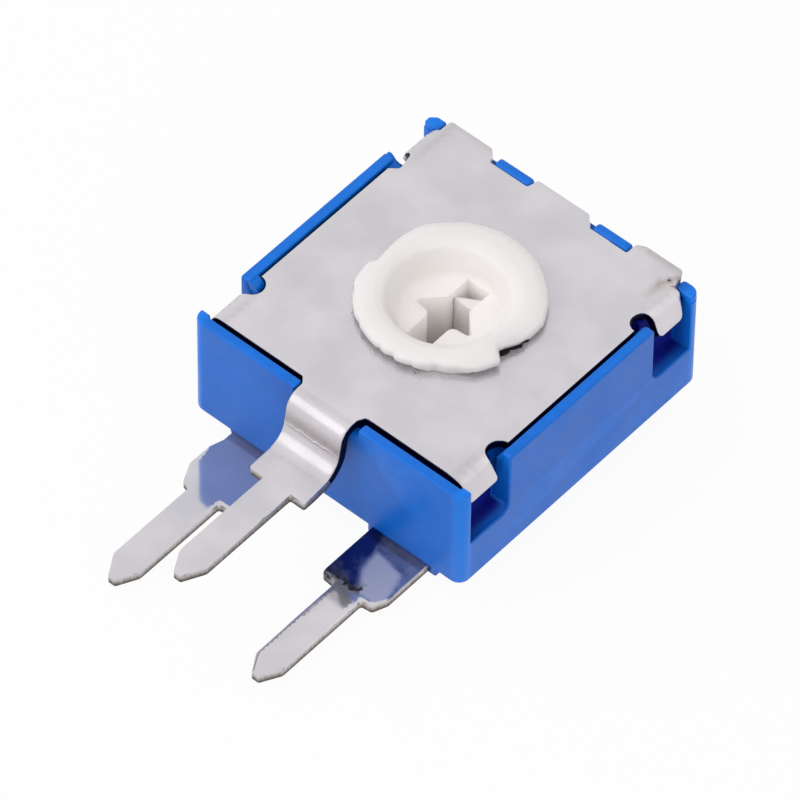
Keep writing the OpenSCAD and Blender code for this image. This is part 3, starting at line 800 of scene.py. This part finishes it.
def dirt_and_shade_at(x, y, z):
    """How much dirt and painted shade a point of the blank gets, 0 to 1."""
    if z < SHEET - 0.03 and (abs(x) < 4.45 and -6.6 < y < 4.5 or abs(y) < 3.28):
        return 1.0                                  # painted shade on the sides that stand in the housing's groove
    # painted shadow under the rotor's torn rim and painted shade along its edge; darker at a spot left of the
    # rotor, at the rear right corner and its fold, and along the rounded upper edges
    radius, turn = math.hypot(x, y), math.degrees(math.atan2(y, x))
    torn = min(step(turn, -15, -12), step(turn, 18, 14), step(2.42 + 0.008 * turn - radius, 0, 0.04))
    around = turn % 360
    rim = band(radius, 2.56, 0.09) if 190 < around < 262 or 285 < around < 294 else 0.0
    dark_spot = band(math.hypot(x + 2.35, (y - 0.95) / 2), 0, 0.35)
    corner = band(math.hypot(x - 4.1, y - 4.74), 0, 0.13)
    fold = min(1.0, 2 * band(x, 3.81 + 0.9 * (y - 4.4), 0.07), step(y, 4.42, 4.54)) if y < 4.76 else 0.0
    edge = 0.3 if on_soft_edge(z) and (y < -5.2 or y > 4.6 or abs(x) > 4.1) else 0.0
    return max(min(1.0, 1.6 * torn), edge, 0.7 * corner, 0.53 * fold, 0.5 * rim, 0.5 * dark_spot)


hole = [Vector(p) for p in arc((0, 0), 2.06, 360, 0, 96)[:-1]]
plate = punched([filleted(plate_outline), hole], plate_gap)
crazing_and_shade, dirt_and_painted_shade = (plate.verts.layers.float.new(label) for label in ("crazing_and_shade", "dirt_and_painted_shade"))
blank = plate.verts.layers.float_vector.new("blank")
for v in plate.verts:
    v[blank] = v.co
    v[crazing_and_shade] = crazing_and_shade_at(v.co.x, v.co.y)
    v[dirt_and_painted_shade] = dirt_and_shade_at(*v.co)
    v.co = on_plate(*v.co)
hand_over(to_object("collector_sheet", plate), "stator", ["collector_plate"],
          [plate_tin, cut_tin])

# ------------------------------------------------------------
# Board, track and end pads. A disc of brown phenolic paper board with a printed
# carbon track, a horseshoe with a dull grain, and two pads of silver ink at its
# ends under the terminals' eyelets. The solids of the frame stay as they are.
# ------------------------------------------------------------


def refinish(name, material):
    """Gives the CAD solid of that name its material."""
    for holder in frame["nodes"][name].material_slots:
        holder.material = material


phenolic, tree, shader, place = finish_of("phenolic_paper")
surface = put(tree, skin, Place=place, Grain=5.0, Patch=1.2, Stretch=(0.3, 2.0, 4.0))
weave = ramp(tree, surface["Height"], [(0.35, (0.235, 0.12, 0.045)), (0.65, (0.33, 0.185, 0.075))])
feed(tree, shader, dict(Base_Color=blend(tree, surface["Specks"], weave, (0.16, 0.08, 0.03)),
                        Roughness=ramp(tree, surface["Patches"], [(0.0, 0.45), (1.0, 0.62)]),
                        Normal=bumped(tree, 0.3, 0.01, surface["Height"])))
refinish("substrate", phenolic)

carbon, tree, shader, place = finish_of("carbon_ink")
surface = put(tree, skin, Place=place, Grain=22.0, Patch=2.0)
worn = node(tree, "ShaderNodeTexWave", {"wave_type": "RINGS", "rings_direction": "Z"}, Vector=place,
            Scale=3.5, Distortion=0.4, Detail=2.0).outputs["Fac"]
feed(tree, shader, dict(Base_Color=ramp(tree, surface["Height"], [(0.3, 0.012), (0.7, 0.03)]),
                        Roughness=ramp(tree, worn, [(0.35, 0.55), (0.75, 0.32)]),
                        Normal=bumped(tree, 0.5, 0.008, surface["Height"])))
refinish("carbon_track", carbon)

silver, tree, shader, place = finish_of("silver_ink")
surface = put(tree, skin, Place=place, Grain=16.0, Patch=1.5)
tint = ramp(tree, surface["Patches"], [(0.0, (0.62, 0.60, 0.55)), (1.0, (0.74, 0.72, 0.68))])
feed(tree, shader, dict(Base_Color=tint, Metallic=0.8,
                        Roughness=ramp(tree, surface["Height"], [(0.3, 0.38), (0.7, 0.6)]),
                        Normal=bumped(tree, 0.5, 0.006, surface["Height"])))
for pad in ("end_pad_left", "end_pad_right"):
    refinish(pad, silver)

# ------------------------------------------------------------
# Wiper. A spring of rolled brass strip riveted under the rotor's disc; it rides
# on the track and on the plate. Drawn bright, it keeps the lines of the rolls.
# ------------------------------------------------------------
brass, tree, shader, place = finish_of("spring_brass")
surface = put(tree, skin, Place=place, Grain=8.0, Patch=0.9, Stretch=(0.25, 3.0, 1.0))
scratched = put(tree, marks, Place=place, Amount=0.5)
tint = blend(tree, surface["Patches"], (0.80, 0.56, 0.24), (0.88, 0.66, 0.32))
feed(tree, shader, dict(Base_Color=blend(tree, scratched["Lines"], tint, (0.55, 0.36, 0.15)), Metallic=1.0,
                        Roughness=ramp(tree, surface["Height"], [(0.3, 0.2), (0.7, 0.34)]),
                        Normal=bumped(tree, 0.3, 0.004, surface["Height"])))
refinish("wiper", brass)

# ------------------------------------------------------------
# Rotor. A white moulding whose hub turns in the plate and in the floor. Its rim
# was formed hot over the plate, so it is domed, uneven and torn in places. The
# driver slot, a pair of straight arms with two barbs, runs right through.
# ------------------------------------------------------------
low, high = mm_box("rotor")
rotor_low, rim_top = low.z, high.z
lobes = mounts["driver_slot_rear"]["pos_m"][2] / MM
hub, dish, crest = 2.02, 1.43, 1.78
rim, rim_out = 2.6, 2.61               # the rim's edge in the plain section, and as formed
disc_low, disc_high, disc_out, lug_out = 2.35, 3.15, 3.3, 3.78
lug_half = 40                          # degrees
slot_half = 0.38
ledge_half = slot_half + 0.02          # reaches into the slot's walls
SIDES = 240
# tears in the hot rim, in degrees: start, end, depth, and how fast each sets in and ends
nicks = [(146, 191, 0.27, 30, 3), (188, 206, 0.10, 2, 14), (343, 382, 0.36, 4, 30), (211, 220, 0.03, 4, 3),
         (236, 243, 0.03, 5, 1), (262, 266, 0.05, 2, 2), (270, 277, 0.07, 4, 2), (284, 290, 0.05, 4, 2),
         (299, 311, 0.05, 3, 7)]

white, tree, shader, place = finish_of("white_moulding")
surface = put(tree, skin, Place=place, Grain=6.0, Patch=0.6)
tint = blend(tree, surface["Patches"], (0.915, 0.865, 0.845), (0.945, 0.905, 0.89))
feed(tree, shader, dict(Base_Color=tint, Specular_IOR_Level=0.4,
                        Roughness=ranged(tree, surface["Height"], 0.3, 0.7, 0.42, 0.6),
                        Subsurface_Weight=0.6, Subsurface_Radius=(1.0, 0.95, 0.9), Subsurface_Scale=0.6 * MM,
                        Normal=bumped(tree, 0.3, 0.015, surface["Height"])))


def beside(turn, place):
    """Degrees between two directions."""
    return abs((turn - place + 180) % 360 - 180)


def eased(share):
    """A share from 0 to 1 with a soft start and end."""
    return share * share * (3 - 2 * share)


def roughly(turn, fineness, height):
    """A noise around the axis, -1 to 1."""
    a = math.radians(turn)
    return noise.noise(Vector((fineness * math.cos(a), fineness * math.sin(a), height)))


def pressed(turn):
    """How far the rim is pressed down to the plate in that direction, 0 to 1."""
    return eased(step(1.5 - abs(turn - 308) / 14, 0, 1))


def rim_reach(turn):
    """Outer radius of the formed rim in that direction."""
    reach = rim_out + 0.086 * math.cos(math.radians(turn - 35)) + 0.06 * math.exp(-((turn - 95) / 28) ** 2)
    reach -= 0.08 * math.exp(-((turn - 298) / 38) ** 2) + 0.10 * pressed(turn)
    for start, end, depth, onset, close in nicks:
        for at in (turn, turn + 360):
            reach -= depth * max(0.0, min(1.0, (at - start) / onset, (end - at) / close))
    return reach + 0.02 * roughly(turn, 3.2, 0.7) + 0.012 * roughly(turn, 11, 4.1)


def on_rotor(r, z, turn):
    """Place of a point of the section in that direction."""
    if disc_low <= z <= disc_high and r > hub + 0.1 and beside(turn, 90) < lug_half:
        r = lug_out
    elif z > plate_top and r > crest:
        share = (r - crest) / (rim - crest)
        lower = z < rim_top - 0.2
        z -= share * (0.012 * (1 + roughly(turn, 1.6, 2.0)) + 0.06 * eased(band(beside(turn, 2), 0, 16)))
        if lower:
            z += 0.16 * min(1.0, 3 * band(beside(turn, 356), 0, 14))
            z -= pressed(turn) * (z - plate_top - 0.012)
        r += share * (rim_reach(turn) - rim)
    turn = math.radians(turn)
    return r * math.cos(turn), r * math.sin(turn), z


section = filleted([
    (1.0, lobes), (dish - 0.02, lobes + 0.01, 0.22), (dish + 0.06, lobes + 0.30, 0.2),
    (1.70, rim_top - 0.10, 0.25), (2.0, rim_top - 0.01, 0.3), (2.35, rim_top - 0.01, 0.3),
    (rim, rim_top - 0.09, 0.12), (rim, rim_top - 0.30, 0.08), (2.3, plate_top + 0.05, 0.2),
    (hub, plate_top + 0.03), (hub, disc_high), (disc_out, disc_high), (disc_out, disc_low), (hub, disc_low),
    (hub, rotor_low + 0.1), (hub - 0.1, rotor_low)], 5, closed=False)
rows = [[on_rotor(r, z, 360 * k / SIDES) for k in range(SIDES)] for r, z in section]
body = bmesh.new()
ribbon(body, rows)
for row in (rows[0], rows[-1]):
    body.faces.new([body.verts.new(point) for point in row])
sealed(body)
rotor = to_object("rotor_moulding", body)

slot = filleted([
    (-slot_half, -1.25, 0.05), (slot_half, -1.25, 0.05), (slot_half, -0.25, 0.22), (0.90, -0.21, 0.05),
    (0.94, -0.1, 0.04), (slot_half, 0.46, 0.10), (slot_half, 1.29, 0.05), (-slot_half, 1.29, 0.05),
    (-slot_half, 0.46, 0.10), (-0.94, -0.1, 0.04), (-0.90, -0.21, 0.05), (-slot_half, -0.25, 0.22)])
LIP = 0.02
slot_rows = [(-LIP, rotor_low - 0.2), (-LIP, rotor_low), (-0.3 * LIP, rotor_low + 0.3 * LIP),
             (0, rotor_low + LIP), (0, lobes - LIP), (-0.3 * LIP, lobes - 0.3 * LIP), (-LIP, lobes),
             (-LIP, rim_top)]
window = [(-1.3, 2.5), (0.6, 2.5), (0.6, 3.4), (-1.3, 3.4)]
pointer = [(-0.5, 1.2), (0.5, 1.2), (0.0, 1.8)]
ledge = [(-ledge_half, 0.7), (ledge_half, 0.7), (ledge_half, 1.24), (-ledge_half, 0.77)]
cut_away(rotor, block("slot_cut", slot, slot_rows),
         block("window_cut", window, [(0, disc_low - 0.1), (0, disc_high + 0.1)]),
         block("pointer_cut", pointer, [(0, rotor_low - 0.1), (0, rotor_low + 0.45)]))
joined(rotor, block("slot_ledge", ledge, topped(disc_low, lobes - 0.26, 0.03)))
hand_over(rotor, "rotor", ["rotor"], [white], 35)

# ------------------------------------------------------------
# Stage: a pale floor, a soft white surround and four soft boxes.
# ------------------------------------------------------------
scene = bpy.context.scene
scene.view_settings.view_transform = "Standard"


def cleared(owner):
    """The owner's emptied node tree."""
    owner.use_nodes = True
    owner.node_tree.nodes.clear()
    return owner.node_tree


def looked_at(tree):
    """1 for rays that see a thing, 0 for those that light by it."""
    path = node(tree, "ShaderNodeLightPath").outputs
    seen = maths(tree, "MAXIMUM", path["Is Camera Ray"], path["Is Glossy Ray"])
    return maths(tree, "MAXIMUM", seen, path["Is Transmission Ray"])


HALF_FLOOR = 0.4
WHITE = (1, 1, 1, 1)
floor_mesh = bpy.data.meshes.new("floor")
corners = [(x * HALF_FLOOR, y * HALF_FLOOR, 0) for x, y in ((-1, -1), (1, -1), (1, 1), (-1, 1))]
floor_mesh.from_pydata(corners, [], [(0, 1, 2, 3)])
floor = bpy.data.objects.new("floor", floor_mesh)
scene.collection.objects.link(floor)
floor.location.z = -0.00002
paper = bpy.data.materials.new("paper_floor")
tree = cleared(paper)
matt = node(tree, "ShaderNodeBsdfDiffuse", Color=(0.92, 0.92, 0.92, 1)).outputs[0]
glow = node(tree, "ShaderNodeEmission", Color=WHITE, Strength=1.0).outputs[0]
mixed = sum_up(tree, "ShaderNodeMixShader", {}, maths(tree, "MULTIPLY", looked_at(tree), 0.94), matt, glow)
node(tree, "ShaderNodeOutputMaterial", Surface=mixed)
floor_mesh.materials.append(paper)

scene.world = bpy.data.worlds.new("surround")
tree = cleared(scene.world)
ambient, backdrop = (node(tree, "ShaderNodeBackground", Color=WHITE, Strength=strength).outputs[0]
                     for strength in (0.44, 1.0))
mixed = sum_up(tree, "ShaderNodeMixShader", {}, looked_at(tree), ambient, backdrop)
node(tree, "ShaderNodeOutputWorld", Surface=mixed)

# each soft box: direction, size, radiance, and whether it lights the part's glossy or its matt side
BOX_DISTANCE = 0.12
for name, direction, size, radiance, shines in (
        ("window", (-0.45, -0.40, 0.80), 0.14, 1.45, False),
        ("side_box", (0.68, -0.28, 0.70), 0.08, 1.5, False),
        ("window_shine", (-0.49, -0.65, 0.58), 0.09, 0.54, True),
        ("back_shine", (0.41, 0.49, 0.77), 0.08, 0.18, True)):
    lamp = bpy.data.lights.new(name, "AREA")
    lamp.size = size
    lamp.energy = radiance * math.pi * size * size
    towards = Vector(direction).normalized()
    made = bpy.data.objects.new(name, lamp)
    made.location = towards * BOX_DISTANCE
    made.rotation_euler = towards.to_track_quat("Z", "Y").to_euler()
    made.visible_glossy = shines
    made.visible_diffuse = not shines
    scene.collection.objects.link(made)

# camera: a long lens that looks down at the plate from the front and the right
azimuth, elevation, roll = (math.radians(a) for a in (40.61, 50.33, 0.75))
target = Vector((0.60, -2.58, 3.18)) * MM
distance = 255.1 * MM
back = Vector((math.sin(azimuth) * math.cos(elevation), -math.cos(azimuth) * math.cos(elevation),
               math.sin(elevation)))
level = Vector((math.cos(azimuth), math.sin(azimuth), 0))
upright = back.cross(level)
across = math.cos(roll) * level + math.sin(roll) * upright
above = -math.sin(roll) * level + math.cos(roll) * upright
lens = bpy.data.cameras.new("camera")
lens.sensor_width = 36.0
lens.lens = 433.0
lens.clip_start = 0.01
camera = bpy.data.objects.new("camera", lens)
turned = Matrix((across, above, back)).transposed().to_4x4()
camera.matrix_world = Matrix.Translation(target + back * distance) @ turned
scene.collection.objects.link(camera)
scene.camera = camera
